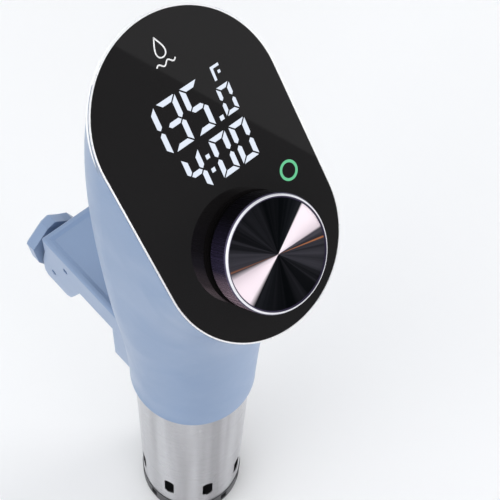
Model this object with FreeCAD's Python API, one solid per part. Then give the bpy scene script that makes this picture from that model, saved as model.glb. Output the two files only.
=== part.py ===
import FreeCAD, Part
import math
import os
from FreeCAD import Vector

# Sous vide circulator, in millimetres.
# Origin: centre of the foot face, on the axis of the steel sleeve.
# +Z runs up the sleeve, +Y points back to the pot clamp, +X is the display's reading direction.

# ---------------------------------------------------------------- driving dimensions
PANEL_WIDTH = 76.0
PANEL_LENGTH = 126.7
PANEL_TILT = 47.5            # degrees from level
PANEL_CENTRE = Vector(0, -15.4, 330.0)
SHELL_RIM = 0.75             # the shell's edge that shows around the panel
TRIM_WIDTH = 0.6
TRIM_PROUD = 0.12
LENS_THICK = 2.5
LEDGE_THICK = 2.5            # the shell's inner ledge that the lens is bonded to
WALL = 2.2

HOUSING_BOTTOM_Z = 147.5
HOUSING_BOTTOM_R = 31.7
PARTING_Y = 21.0             # the rear cover starts behind this plane
PARTING_GAP = 0.3

SLEEVE_R = 29.1
SLEEVE_WALL = 0.6
SLEEVE_BOTTOM_Z = 16.0
SLEEVE_TOP_Z = 157.0
FOOT_R = 29.5
SPIGOT_R = 28.0
BULKHEAD_Z = 158.0

KNOB_R = 22.0
KNOB_TOP = 12.7              # height of the knob's face over the panel
KNOB_GAP = 1.0               # clearance under the knob, for the press travel
BAND_LOW = 2.6               # where the knob's metal band starts, over the panel
KNOB_V = -29.8               # knob centre, along the panel from its middle
RING_U, RING_V, RING_R = 25.0, -11.4, 3.95
SPINDLE_R = 3.0
RUNNING = 0.05               # radial clearance of a running fit

MOTOR_R = 21.0
MOTOR_Z = 181.0
MOTOR_H = 40.0
MOTOR_SHAFT_R = 2.5
DRIVE_SHAFT_R = 3.0
DRIVE_TUBE_R = 6.0

ARM_HALF_WIDTH = 27.0
ARM_TOP_Z = 202.0
ARM_END_Y = 79.5
SCREW_Z = 178.0
SCREW_R = 5.0
LEG_INNER_Y = 61.0
POCKET_Y = 64.0
LEG_OUTER_Y = 82.0
PAD_FACE_Y = 45.0
PADDLE_Y = 83.4
PADDLE_THICK = 6.6
PADDLE_HALF = [(3.0, 4.0), (10.2, 11.2), (15.3, 12.6), (22.3, 15.3), (26.2, 12.0), (32.2, 0.0)]
PADDLE_TURN = 20.0           # degrees over level that the paddle points at rest, to -X
HUB_R = 7.0
HUB_THICK = 5.0

X, Y, Z = Vector(1, 0, 0), Vector(0, 1, 0), Vector(0, 0, 1)
TILT = math.radians(PANEL_TILT)
SLOPE = Vector(0, math.cos(TILT), math.sin(TILT))
NORMAL = Vector(0, -math.sin(TILT), math.cos(TILT))

os.makedirs("parts", exist_ok=True)


# ---------------------------------------------------------------- helpers
def save(name, *shapes):
    solids = [solid for shape in shapes for solid in shape.Solids]
    body = solids[0] if len(solids) == 1 else Part.makeCompound(solids)
    body.exportStep(f"parts/{name}.step")
    volume = sum(solid.Volume for solid in solids)
    print(f"{name}: {len(solids)} solid(s), {volume:.0f} mm3, valid {body.isValid()}")
    return body


def cylinder(radius, base, top, x=0.0, y=0.0):
    return Part.makeCylinder(radius, top - base, Vector(x, y, base), Z)


def tube(outer, inner, base, top, x=0.0, y=0.0):
    return cylinder(outer, base, top, x, y).cut(cylinder(inner, base, top, x, y))


def rod_y(radius, start, end, x, z):
    return Part.makeCylinder(radius, end - start, Vector(x, start, z), Y)


def tube_y(outer, inner, start, end, x, z):
    return rod_y(outer, start, end, x, z).cut(rod_y(inner, start, end, x, z))


def block(x0, x1, y0, y1, z0, z1):
    return Part.makeBox(x1 - x0, y1 - y0, z1 - z0, Vector(x0, y0, z0))


def fuse(shapes):
    whole = shapes[0]
    for shape in shapes[1:]:
        whole = whole.fuse(shape)
    return whole.removeSplitter()


def largest(shape):
    return max(shape.Solids, key=lambda solid: solid.Volume)


def polygon(points, direction):
    wire = Part.makePolygon([*points, points[0]])
    return Part.Face(wire).extrude(direction)


def turned(profile):
    """A solid of revolution from (radius, height) points, about +Z through the origin."""
    wire = Part.makePolygon([Vector(r, 0, h) for r, h in [*profile, profile[0]]])
    return Part.Face(wire).revolve(Vector(0, 0, 0), Z, 360)


def on_panel(shape):
    """Carry a shape from panel axes (across, up the slope, height) to the row's axes."""
    placed = shape.copy()
    turn = FreeCAD.Rotation(X, PANEL_TILT)
    placed.Placement = FreeCAD.Placement(PANEL_CENTRE, turn).multiply(placed.Placement)
    return placed


def stadium_wire(centre, along, half_length, half_width):
    """A long round-ended loop in the plane of X and along."""
    straight = half_length - half_width
    ends = [centre + along * straight, centre - along * straight]
    side = X * half_width
    tip = along * half_width
    edges = [
        Part.Arc(ends[0] + side, ends[0] + tip, ends[0] - side).toShape(),
        Part.LineSegment(ends[0] - side, ends[1] - side).toShape(),
        Part.Arc(ends[1] - side, ends[1] - tip, ends[1] + side).toShape(),
        Part.LineSegment(ends[1] + side, ends[0] + side).toShape(),
    ]
    return Part.Wire(edges)


def stadium(grow, base, top):
    """A stadium plate on the panel, its edge grown past the panel's by so much."""
    wire = stadium_wire(Vector(0, 0, base), Y, PANEL_LENGTH / 2 + grow, PANEL_WIDTH / 2 + grow)
    return Part.Face(wire).extrude(Vector(0, 0, top - base))


def stadium_ring(outer, inner, base, top):
    return stadium(outer, base, top).cut(stadium(inner, base, top))


def bezier(points, t):
    a, b, c, d = points
    s = 1 - t
    return a * s**3 + b * (3 * s * s * t) + c * (3 * s * t * t) + d * t**3


# ---------------------------------------------------------------- housing
# The front and back lines of the housing run from the panel's ends down to the column.
TOP_REACH = PANEL_LENGTH / 2 + SHELL_RIM
RIM_DROP = 0.3
FRONT_TOP = PANEL_CENTRE - SLOPE * TOP_REACH - NORMAL * RIM_DROP
BACK_TOP = PANEL_CENTRE + SLOPE * TOP_REACH - NORMAL * RIM_DROP
FRONT_LINE = [
    FRONT_TOP,
    FRONT_TOP + Vector(0, 29.0, -23.6),
    Vector(0, -HOUSING_BOTTOM_R, HOUSING_BOTTOM_Z + 62.5),
    Vector(0, -HOUSING_BOTTOM_R, HOUSING_BOTTOM_Z),
]
BACK_LINE = [
    BACK_TOP,
    BACK_TOP + Vector(0, 19.7, -62.5),
    Vector(0, HOUSING_BOTTOM_R, HOUSING_BOTTOM_Z + 78.0),
    Vector(0, HOUSING_BOTTOM_R, HOUSING_BOTTOM_Z),
]
HALF_WIDTHS = [
    PANEL_WIDTH / 2 + SHELL_RIM,
    PANEL_WIDTH / 2 + SHELL_RIM + 0.1,
    HOUSING_BOTTOM_R + 4.8,
    HOUSING_BOTTOM_R,
]
SECTIONS = 12


def housing_loft(inset, overshoot):
    """The housing's outer form, or its cavity when inset. Overshoot carries both ends past the form."""
    wires = []
    for i in range(SECTIONS + 1):
        t = i / SECTIONS
        front, back = bezier(FRONT_LINE, t), bezier(BACK_LINE, t)
        across = back - front
        half_length = across.Length / 2
        half_width = min(bezier(HALF_WIDTHS, t), half_length - 0.4)
        middle = (front + back) * 0.5
        along = Vector(across).normalize()
        wires.append(stadium_wire(middle, along, half_length - inset, half_width - inset))
    if overshoot:
        first, last = wires[0].copy(), wires[-1].copy()
        first.translate(NORMAL * overshoot)
        last.translate(Z * -overshoot)
        wires = [first, *wires, last]
    return Part.makeLoft(wires, True, False)


BOSS_R = 4.0
SCREW_CORE_R = 1.3
SHANK_BORE_R = 1.7
HEAD_R = 3.2
HEAD_BORE_R = 3.4


def screw_places():
    """The rear cover's screws: across, height, how far out the rib reaches, where the boss starts."""
    return [(side * x, z, side * reach, start)
            for x, z, reach, start in [(24, 322, 38, 9), (19, 216, 34, 16)] for side in (-1, 1)]


def make_housing():
    outer = housing_loft(0, 0)
    cavity = housing_loft(WALL, 4)
    chamfer = 1.0
    low, high = HOUSING_BOTTOM_Z - 1, HOUSING_BOTTOM_Z + chamfer + 1
    corner = turned([(HOUSING_BOTTOM_R - chamfer - 1, low), (HOUSING_BOTTOM_R + 4, low),
                     (HOUSING_BOTTOM_R + 4, high), (HOUSING_BOTTOM_R + 1, high)])
    shell = outer.cut(cavity).cut(corner)
    ledge_low = -LENS_THICK - LEDGE_THICK
    ledge = on_panel(stadium_ring(0.2, -2.0, ledge_low, -LENS_THICK)).common(outer)
    recess = on_panel(stadium(TRIM_WIDTH, -LENS_THICK, 5))
    shell = shell.fuse(ledge).cut(recess)

    front = shell.common(block(-60, 60, -90, PARTING_Y, 130, 400))
    for x, z, reach, start in screw_places():
        boss = rod_y(BOSS_R, start, PARTING_Y, x, z)
        rib = block(min(x, reach), max(x, reach), start, PARTING_Y - 2, z - 1, z + 1)
        front = front.fuse(boss.fuse(rib).common(outer))
    for side in (-1, 1):
        rail = block(25.3, 40, 9.5, 16.1, 236, 302).cut(block(20, 26.2, 11.95, 13.65, 230, 310))
        if side < 0:
            rail = rail.mirror(Vector(0, 0, 0), X)
        front = front.fuse(rail.common(outer))
    for x, z, _, start in screw_places():
        front = front.cut(rod_y(SCREW_CORE_R, start + 1, PARTING_Y + 1, x, z))
    save("front_shell", front)

    rear = shell.common(block(-60, 60, PARTING_Y + PARTING_GAP, 90, 130, 400))
    for x, z, _, _ in screw_places():
        pillar = rod_y(4.6, PARTING_Y + PARTING_GAP, 60, x, z).common(outer)
        rear = rear.fuse(pillar).cut(rod_y(HEAD_BORE_R, PARTING_Y + 4.0, 60, x, z))
        rear = rear.cut(rod_y(SHANK_BORE_R, PARTING_Y - 1, 60, x, z))
    rear = rear.cut(rod_y(GLAND_R, 25, 60, 0, GLAND_Z))
    for x, z in bracket_screw_places():
        rear = rear.cut(rod_y(SHANK_BORE_R, 10, 60, x, z))
    rear = save("rear_shell", largest(rear))

    seal_slab = block(-60, 60, PARTING_Y - 1.5, PARTING_Y + 1.8, 184, 352)
    seal = cavity.common(seal_slab).cut(housing_loft(WALL + 1.2, 6))
    save("shell_seal", seal.cut(rear).cut(front))
    return outer


def make_housing_screws():
    screws = []
    for x, z, _, start in screw_places():
        head = rod_y(HEAD_R, PARTING_Y + 4.0, PARTING_Y + 6.0, x, z)
        shank = rod_y(SCREW_CORE_R, start + 1, PARTING_Y + 4.0, x, z)
        slot = block(x - 2.0, x + 2.0, PARTING_Y + 5.2, PARTING_Y + 7, z - 0.4, z + 0.4)
        cross = block(x - 0.4, x + 0.4, PARTING_Y + 5.2, PARTING_Y + 7, z - 2.0, z + 2.0)
        screws.append(head.fuse(shank).cut(slot).cut(cross))
    save("housing_screws", *screws)


GLAND_R = 7.0
GLAND_Z = 300.0
GLAND_BORE = 3.6


def make_cord_gland(outer):
    wall_y = back_surface_y(GLAND_Z)
    sleeve = rod_y(GLAND_R, wall_y - 5.0, wall_y + 3.0, 0, GLAND_Z)
    collar_inside = rod_y(GLAND_R + 1.6, wall_y - 5.0, wall_y - 3.4, 0, GLAND_Z)
    collar_outside = rod_y(GLAND_R + 1.6, wall_y + 1.2, wall_y + 3.0, 0, GLAND_Z)
    gland = sleeve.fuse(collar_inside).fuse(collar_outside.cut(outer))
    tail = Part.makeCone(5.6, 4.8, 7.0, Vector(0, wall_y + 3.0, GLAND_Z), Y)
    gland = gland.fuse(tail).cut(rod_y(GLAND_BORE, wall_y - 8, wall_y + 14, 0, GLAND_Z))
    save("cord_gland", gland)


def back_surface_y(z):
    """The housing's back line at a height."""
    low, high = 0.0, 1.0
    for _ in range(40):
        t = (low + high) / 2
        if bezier(BACK_LINE, t).z > z:
            low = t
        else:
            high = t
    return bezier(BACK_LINE, (low + high) / 2).y


# ---------------------------------------------------------------- panel and display
def make_panel():
    knob_hole = cylinder(4.3, -6, 6, 0, KNOB_V)
    lens = stadium(-0.06, -LENS_THICK, 0).cut(knob_hole)
    save("display_lens", on_panel(lens))
    save("panel_trim", on_panel(stadium_ring(TRIM_WIDTH - 0.02, 0, -LENS_THICK, TRIM_PROUD)))

    frame = stadium_ring(-4.6, -8.4, -5.0, -LENS_THICK)
    posts = [cylinder(2.6, BOARD_TOP, -LENS_THICK, x, y).cut(cylinder(1.1, BOARD_TOP, -5.0, x, y))
             for x, y in board_posts()]
    save("panel_frame", on_panel(fuse([frame, *posts])))

    low = BOARD_TOP - BOARD_THICK
    outline = stadium_wire(Vector(0, BOARD_V, low), Y, BOARD_HALF_LENGTH, BOARD_HALF_WIDTH)
    board = Part.Face(outline).extrude(Vector(0, 0, BOARD_THICK))
    board = board.fuse(block(-9, 9, -12, -3.5, low - 1.8, low))
    board = board.fuse(block(-8, 8, 34, 40, low - 3.9, low))
    for x, y in board_posts():
        board = board.cut(cylinder(1.3, -15, -10, x, y))
    save("display_board", on_panel(board))
    screws = [cylinder(2.2, low - 1.4, low, x, y).fuse(cylinder(1.1, low, -7.0, x, y))
              for x, y in board_posts()]
    save("display_board_screws", on_panel(Part.makeCompound(screws)))

    module = block(-17, 22, -2, 41, BOARD_TOP, -3.4)
    pegs = [cylinder(1.2, -3.4, -LENS_THICK, x, y) for x in (-15, 20) for y in (0, 39)]
    save("led_display_module", on_panel(fuse([module, *pegs])))
    guide = tube(RING_R, RING_R - 1.3, BOARD_TOP, -LENS_THICK, RING_U, RING_V)
    save("touch_ring_guide", on_panel(guide))


BOARD_V = -3.0
BOARD_TOP = -12.0            # height of the board's upper face, below the panel
BOARD_THICK = 1.6
BOARD_HALF_LENGTH = 51.0
BOARD_HALF_WIDTH = 33.0


def board_posts():
    """The posts that carry the display board, at the panel's sides."""
    return [(side * 28.5, v) for side in (-1, 1) for v in (16.0, 0.0, -23.0)]


def make_encoder():
    body = block(-7, 7, KNOB_V - 7, KNOB_V + 7, BOARD_TOP, -5.5)
    body = body.cut(cylinder(4.06, -11.6, -6.4, 0, KNOB_V)).cut(cylinder(3.2, -8, -4, 0, KNOB_V))
    save("encoder_body", on_panel(body))
    bush = tube(4.1, SPINDLE_R + RUNNING, -5.5, -0.2, 0, KNOB_V)
    save("encoder_bush", on_panel(bush))
    rotor = tube(4.0, SPINDLE_R + RUNNING, -11.5, -6.6, 0, KNOB_V)
    save("encoder_rotor", on_panel(rotor))
    spindle = cylinder(SPINDLE_R, -10.8, 10.4, 0, KNOB_V)
    save("encoder_spindle", on_panel(spindle))


def make_knob():
    def at_knob(shape):
        shape.translate(Vector(0, KNOB_V, 0))
        return on_panel(shape)

    skirt_r = KNOB_R - 0.25
    core = turned([
        (SPINDLE_R, KNOB_GAP + 0.6), (6.5, KNOB_GAP + 0.6), (6.5, 5.2), (skirt_r - 2.2, 5.2),
        (skirt_r - 2.2, KNOB_GAP), (skirt_r - 0.5, KNOB_GAP), (skirt_r, KNOB_GAP + 0.5),
        (skirt_r, BAND_LOW), (skirt_r - 1.4, BAND_LOW), (skirt_r - 1.4, 10.4), (SPINDLE_R, 10.4),
    ])
    save("knob_core", at_knob(core))
    band = turned([(skirt_r - 1.4, BAND_LOW), (KNOB_R, BAND_LOW), (KNOB_R, KNOB_TOP - 1.1),
                   (skirt_r - 1.4, KNOB_TOP - 1.1)])
    save("knob_band", at_knob(band))
    bezel = turned([(skirt_r - 1.4, KNOB_TOP - 1.1), (KNOB_R, KNOB_TOP - 1.1),
                    (KNOB_R - 0.8, KNOB_TOP), (KNOB_R - 1.3, KNOB_TOP),
                    (KNOB_R - 1.3, KNOB_TOP - 0.4), (skirt_r - 1.4, KNOB_TOP - 0.4)])
    save("knob_bezel", at_knob(bezel))
    face = cylinder(skirt_r - 1.4, 10.4, KNOB_TOP - 0.4)
    save("knob_face", at_knob(face))


# ---------------------------------------------------------------- electronics in the column
BOARD_Y = 12.0


def make_power_electronics():
    save("power_board", block(-26, 26, BOARD_Y, BOARD_Y + 1.6, 240, 298))
    core = block(-22, -2, -8, BOARD_Y, 268, 292)
    winding = rod_y(9.0, -14, -8, -12, 280)
    save("transformer", core.fuse(winding))
    caps = [rod_y(5.0, -6, BOARD_Y, x, 282) for x in (7.0, 19.0)]
    save("capacitors", *caps)
    save("relay", block(-22, -8, -4, BOARD_Y, 246, 264))
    base = block(-2, 22, 6, BOARD_Y, 244, 270)
    fins = [block(-2 + 4 * i, -0.8 + 4 * i, -6, 6, 244, 270) for i in range(6)]
    save("heat_sink", fuse([base, *fins]))
    legs = [block(3 + 3 * i, 4 + 3 * i, BOARD_Y + 1.6, BOARD_Y + 2.4, 248, 254) for i in range(3)]
    save("triac", fuse([block(0, 12, BOARD_Y + 1.6, BOARD_Y + 5.6, 254, 270), *legs]))
    terminal = block(-20, 6, BOARD_Y + 1.6, BOARD_Y + 10, 284, 294)
    wells = [block(-18 + 8 * i, -12 + 8 * i, BOARD_Y + 4, BOARD_Y + 11, 286, 292) for i in range(3)]
    for well in wells:
        terminal = terminal.cut(well)
    save("terminal_block", terminal)


# ---------------------------------------------------------------- motor and drive line
def make_motor():
    can = turned([
        (5.0, MOTOR_Z), (MOTOR_R - 1, MOTOR_Z), (MOTOR_R, MOTOR_Z + 1),
        (MOTOR_R, MOTOR_Z + MOTOR_H - 2), (MOTOR_R - 2, MOTOR_Z + MOTOR_H),
        (5.0, MOTOR_Z + MOTOR_H), (5.0, MOTOR_Z + MOTOR_H - 2.5),
        (MOTOR_R - 1.5, MOTOR_Z + MOTOR_H - 2.5), (MOTOR_R - 1.5, MOTOR_Z + 2.5),
        (5.0, MOTOR_Z + 2.5),
    ])
    screw_x = 12.0
    for side in (-1, 1):
        can = can.cut(cylinder(1.5, MOTOR_Z - 1, MOTOR_Z + 6, side * screw_x, 0))
    save("motor_can", can)
    bearing_in = MOTOR_SHAFT_R + RUNNING
    bearings = [tube(5.0, bearing_in, MOTOR_Z, MOTOR_Z + 4),
                tube(5.0, bearing_in, MOTOR_Z + MOTOR_H - 4, MOTOR_Z + MOTOR_H)]
    save("motor_bearings", *bearings)

    plate = cylinder(27.0, MOTOR_Z - 3, MOTOR_Z).cut(cylinder(8.0, MOTOR_Z - 4, MOTOR_Z + 1))
    screws = []
    for x, y in motor_posts():
        plate = plate.cut(cylinder(1.5, MOTOR_Z - 4, MOTOR_Z + 1, x, y))
        screws.append(cylinder(1.5, MOTOR_Z - 9, MOTOR_Z, x, y)
                      .fuse(cylinder(2.4, MOTOR_Z, MOTOR_Z + 1.8, x, y)))
    for side in (-1, 1):
        plate = plate.cut(cylinder(1.5, MOTOR_Z - 4, MOTOR_Z + 1, side * screw_x, 0))
    save("motor_mount", plate)
    for side in (-1, 1):
        screws.append(cylinder(1.5, MOTOR_Z - 3, MOTOR_Z + 4, side * screw_x, 0)
                      .fuse(cylinder(2.4, MOTOR_Z - 4.8, MOTOR_Z - 3, side * screw_x, 0)))
    save("motor_screws", *screws)

    save("motor_shaft", cylinder(MOTOR_SHAFT_R, 171.0, 234.0))
    rotor = tube(14.0, MOTOR_SHAFT_R, MOTOR_Z + 7, MOTOR_Z + MOTOR_H - 7)
    save("motor_rotor", rotor)
    stator = tube(MOTOR_R - 1.5, 14.6, MOTOR_Z + 6.5, MOTOR_Z + MOTOR_H - 6.5)
    save("motor_stator", stator)


def motor_posts():
    turns = [math.radians(30 + 120 * i) for i in range(3)]
    return [(24.3 * math.cos(a), 24.3 * math.sin(a)) for a in turns]


def make_fan():
    hub = tube(6.0, MOTOR_SHAFT_R, 224.0, 232.0)
    blades = []
    for i in range(7):
        blade = block(5.5, 22.0, -0.7, 0.7, 224.5, 231.5)
        blade.rotate(Vector(12, 0, 228), X, 32)
        blade.rotate(Vector(0, 0, 0), Z, 360 * i / 7)
        blades.append(blade)
    save("cooling_fan", fuse([hub, *blades]))


def make_drive_line():
    save("drive_shaft", cylinder(DRIVE_SHAFT_R, 9.0, 171.0))
    coupling = cylinder(6.5, 166.0, 176.5).cut(cylinder(DRIVE_SHAFT_R, 165, 171.0))
    coupling = coupling.cut(cylinder(MOTOR_SHAFT_R, 171.0, 177.0))
    coupling = coupling.cut(block(-7, 7, -0.5, 0.5, 173.5, 177))
    save("shaft_coupling", coupling)
    inner = DRIVE_SHAFT_R + RUNNING
    carrier = tube(DRIVE_TUBE_R, inner + 1.0, 34.0, 146.0)
    carrier = carrier.fuse(tube(9.0, inner + 1.0, 146.0, 149.0)).removeSplitter()
    save("shaft_tube", carrier)
    save("lower_bushing", tube(inner + 1.0, inner, 34.0, 42.0))
    save("upper_bushing", tube(inner + 1.0, inner, 138.0, 146.0))
    save("shaft_seal", tube(7.0, inner, 156.0, 162.0))

    hub = cylinder(5.5, 12.0, 24.0)
    disc = cylinder(15.0, 22.4, 24.0)
    blades = []
    for i in range(6):
        blade = block(5.0, 19.0, -0.7, 0.7, 12.5, 23.0)
        blade.rotate(Vector(5, 0, 0), Z, 22)
        blade.rotate(Vector(0, 0, 0), Z, 60 * i)
        blades.append(blade)
    impeller = fuse([hub, disc, *blades]).cut(cylinder(DRIVE_SHAFT_R, 8, 30))
    save("impeller", impeller)


# ---------------------------------------------------------------- bulkhead, heater and probes
HEATER_TURNS = 5
HEATER_PITCH = 10.0
HEATER_COIL_R = 15.5
HEATER_TUBE_R = 3.2
HEATER_LEG_R = 2.8
HEATER_LOW_Z = 52.0


def make_bulkhead():
    plate = turned([
        (3.05 + 4.0, BULKHEAD_Z + 5), (3.05 + 4.0, 156.0), (3.4, 156.0), (3.4, 149.0),
        (SPIGOT_R, 149.0), (SPIGOT_R, 151.2), (SPIGOT_R - 1.5, 151.2), (SPIGOT_R - 1.5, 154.2),
        (SPIGOT_R, 154.2), (SPIGOT_R, BULKHEAD_Z), (29.0, BULKHEAD_Z), (29.0, BULKHEAD_Z + 5),
    ])
    for x, y in heater_leg_places():
        plate = plate.cut(cylinder(HEATER_LEG_R, 145, 170, x, y))
    for x, y in motor_posts():
        plate = plate.fuse(tube(3.0, 1.5, BULKHEAD_Z + 4, MOTOR_Z - 3, x, y))
    plate = plate.cut(cylinder(PROBE_R, 145, 170, *PROBE_AT))
    for x, y in LEVEL_RODS_AT:
        plate = plate.cut(cylinder(LEVEL_ROD_R, 145, 170, x, y))
    save("bulkhead", plate)
    save("sleeve_seal", tube(SLEEVE_R - SLEEVE_WALL - 0.1, SPIGOT_R - 1.5, 151.2, 154.2))


def heater_leg_places():
    return [(HEATER_COIL_R, 0.0), (-HEATER_COIL_R, 0.0)]


def make_heater():
    """Closed rings joined by short risers, one leg up each side: the coil's outer form."""
    rings = []
    for i in range(HEATER_TURNS):
        z = HEATER_LOW_Z + HEATER_PITCH * i
        rings.append(Part.makeTorus(HEATER_COIL_R, HEATER_TUBE_R, Vector(0, 0, z), Z))
    legs = [cylinder(HEATER_LEG_R, HEATER_LOW_Z + HEATER_PITCH * (HEATER_TURNS - 1), 172.0, x, y)
            for x, y in heater_leg_places()]
    riser = cylinder(HEATER_LEG_R, HEATER_LOW_Z, 100.0, HEATER_COIL_R, 0)
    save("heater_coil", fuse([riser, *rings, *legs]))
    nuts = [Part.makeCylinder(5.4, 4.0, Vector(x, y, BULKHEAD_Z + 5), Z)
            .cut(cylinder(HEATER_LEG_R, 160, 170, x, y)) for x, y in heater_leg_places()]
    save("heater_nuts", *nuts)


PROBE_R = 2.0
PROBE_AT = (0.0, 22.5)
LEVEL_ROD_R = 1.4
LEVEL_RODS_AT = [(-9.0, -20.5), (9.0, -20.5)]
CUTOFF_Y = -14.5


def make_probes():
    stem = cylinder(PROBE_R, 40.0, 166.0, *PROBE_AT)
    tip = Part.makeSphere(PROBE_R, Vector(*PROBE_AT, 40.0))
    save("temperature_probe", stem.fuse(tip).removeSplitter())
    rods = [cylinder(LEVEL_ROD_R, low, 167.0, x, y)
            for (x, y), low in zip(LEVEL_RODS_AT, (58.0, 96.0))]
    save("level_probes", *rods)
    cutoff = cylinder(6.0, BULKHEAD_Z + 5, BULKHEAD_Z + 9, 0, CUTOFF_Y)
    ears = block(-11, 11, CUTOFF_Y - 2.5, CUTOFF_Y + 2.5, BULKHEAD_Z + 5, BULKHEAD_Z + 5.8)
    for x in (-8.8, 8.8):
        ears = ears.cut(cylinder(1.4, 160, 170, x, CUTOFF_Y))
    save("thermal_cutoff", cutoff.fuse(ears).removeSplitter())


# ---------------------------------------------------------------- steel sleeve and foot
SLOTS = 12
PORTS = 8
PORT_R = 3.0
PORT_LOW_Z, PORT_HIGH_Z = 32.0, 45.0


def make_sleeve():
    inner_r = SLEEVE_R - SLEEVE_WALL
    sleeve = tube(SLEEVE_R, inner_r, SLEEVE_BOTTOM_Z, SLEEVE_TOP_Z)
    for i in range(PORTS):
        port = block(20, 40, -PORT_R, PORT_R, PORT_LOW_Z, PORT_HIGH_Z)
        ends = [Part.makeCylinder(PORT_R, 20, Vector(20, 0, z), X) for z in (PORT_LOW_Z, PORT_HIGH_Z)]
        port = fuse([port, *ends])
        port.rotate(Vector(0, 0, 0), Z, 360 * (i + 0.5) / PORTS)
        sleeve = sleeve.cut(port)
    save("steel_sleeve", sleeve)

    foot = turned([
        (0, 0), (FOOT_R - 2.5, 0), (FOOT_R - 0.6, 1.6), (FOOT_R, 4.0), (FOOT_R, SLEEVE_BOTTOM_Z),
        (inner_r, SLEEVE_BOTTOM_Z), (inner_r, SLEEVE_BOTTOM_Z + 10), (inner_r - 2, SLEEVE_BOTTOM_Z + 10),
        (inner_r - 2, 3.0), (0, 3.0),
    ])
    slot_r = 24.0
    for i in range(SLOTS):
        slot = block(slot_r, 40, -2.2, 2.2, 6.5, 14.5)
        slot.rotate(Vector(0, 0, 0), Z, 360 * i / SLOTS)
        foot = foot.cut(slot)
    save("foot_cap", foot)


# ---------------------------------------------------------------- pot clamp
INSERT_R = 8.0
SADDLE_BACK_Y = 37.0
SADDLE_LOW_Z = 149.5
SADDLE_HALF_WIDTH = 24.5
SADDLE_CORNER_R = 39.5
BED_RAIL = 2.2               # the rail left round the shallow bed in the arm's top
BED_SLOPE = 2.4
BED_DEPTH = 1.0
LINER = 1.8


def bracket_screw_places():
    return [(side * 15.8, z) for side in (-1, 1) for z in (170.0, 192.0)]


def rectangle(half_width, start, end, height):
    """A level loop about the plane X = 0."""
    corners = [Vector(x, y, height) for x, y in
               ((-half_width, start), (half_width, start), (half_width, end), (-half_width, end))]
    return Part.makePolygon([*corners, corners[0]])


def make_bracket(outer):
    half = ARM_HALF_WIDTH
    jaw = block(-SADDLE_HALF_WIDTH, SADDLE_HALF_WIDTH, 14.0, SADDLE_BACK_Y, SADDLE_LOW_Z, 190.0)
    jaw = jaw.common(cylinder(SADDLE_CORNER_R, SADDLE_LOW_Z - 1, 191.0))
    root = block(-half, half, 14.0, SADDLE_BACK_Y, 185.0, ARM_TOP_Z)
    saddle = jaw.fuse(root).cut(outer)
    saddle = largest(saddle)
    top = block(-half, half, SADDLE_BACK_Y, ARM_END_Y, ARM_TOP_Z - 5, ARM_TOP_Z)
    floor = rectangle(half - BED_RAIL - BED_SLOPE, 20.0, ARM_END_Y - BED_RAIL - BED_SLOPE,
                      ARM_TOP_Z - BED_DEPTH)
    rim = rectangle(half - BED_RAIL, 20.0, ARM_END_Y - BED_RAIL, ARM_TOP_Z + 0.2)
    bed = Part.makeLoft([floor, rim], True, True)
    skirts = [block(x, x + 4, SADDLE_BACK_Y, ARM_END_Y, 185, ARM_TOP_Z - 5)
              for x in (-half, half - 4)]
    leg_outline = [
        Vector(-half, 52.0, 185.0), Vector(-half, 57.0, 175.5), Vector(-half, LEG_INNER_Y, 168.5),
        Vector(-half, 64.5, 166.0), Vector(-half, 80.0, 166.0), Vector(-half, LEG_OUTER_Y, 169.0),
        Vector(-half, LEG_OUTER_Y, 178.0), Vector(-half, ARM_END_Y, 187.0),
        Vector(-half, ARM_END_Y, ARM_TOP_Z - 5), Vector(-half, 56.0, ARM_TOP_Z - 5),
    ]
    leg = polygon(leg_outline, X * (2 * half))
    pocket = block(-18.5, 18.5, 40, POCKET_Y, 160, ARM_TOP_Z - 5)
    leg = leg.cut(pocket)
    bracket = fuse([saddle, top, *skirts, leg]).cut(bed)
    bracket = bracket.cut(rod_y(INSERT_R, 50, 90, 0, SCREW_Z))
    for side in (-1, 1):
        for y, z in ((73.5, 177.0), (62.0, 193.0)):
            dimple = Part.makeCylinder(1.7, 1.0, Vector(side * half, y, z), X * -side)
            bracket = bracket.cut(dimple)
    for x, z in bracket_screw_places():
        bracket = bracket.cut(rod_y(SHANK_BORE_R, 10, 60, x, z))
        bracket = bracket.cut(rod_y(HEAD_BORE_R, SADDLE_BACK_Y - 2.4, 60, x, z))
    save("clamp_bracket", bracket.makeFillet(1.4, outer_arm_edges(bracket)))
    screws = []
    for x, z in bracket_screw_places():
        head = rod_y(HEAD_R, SADDLE_BACK_Y - 2.4, SADDLE_BACK_Y - 0.4, x, z)
        shank = rod_y(1.6, 24.5, SADDLE_BACK_Y - 2.4, x, z)
        socket = rod_y(1.5, SADDLE_BACK_Y - 1.4, SADDLE_BACK_Y, x, z)
        screws.append(head.fuse(shank).cut(socket))
    save("bracket_screws", *screws)

    liner = block(-12.5, 12.5, SADDLE_BACK_Y, SADDLE_BACK_Y + LINER, 152, 193)
    for i in range(7):
        z = 155.0 + 5.5 * i
        liner = liner.cut(block(-14, 14, SADDLE_BACK_Y + LINER - 0.7, 60, z, z + 1.6))
    save("jaw_liner", liner)


def outer_arm_edges(bracket):
    """The long edges round the arm's top and the upright ones at its outer end."""
    found = []
    for edge in bracket.Edges:
        box = edge.BoundBox
        at_side = abs(abs(box.XMin) - ARM_HALF_WIDTH) < 0.01 and box.XLength < 0.01
        at_end = abs(box.YMin - ARM_END_Y) < 0.01 and box.YLength < 0.01
        at_top = abs(box.ZMax - ARM_TOP_Z) < 0.01 and box.ZLength < 0.01
        if (at_side and at_top) or (at_end and at_top) or (at_side and at_end):
            found.append(edge)
    return found


PAD_R = 13.0
PAD_RUBBER = 1.8
SOCKET_R = 4.3


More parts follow.
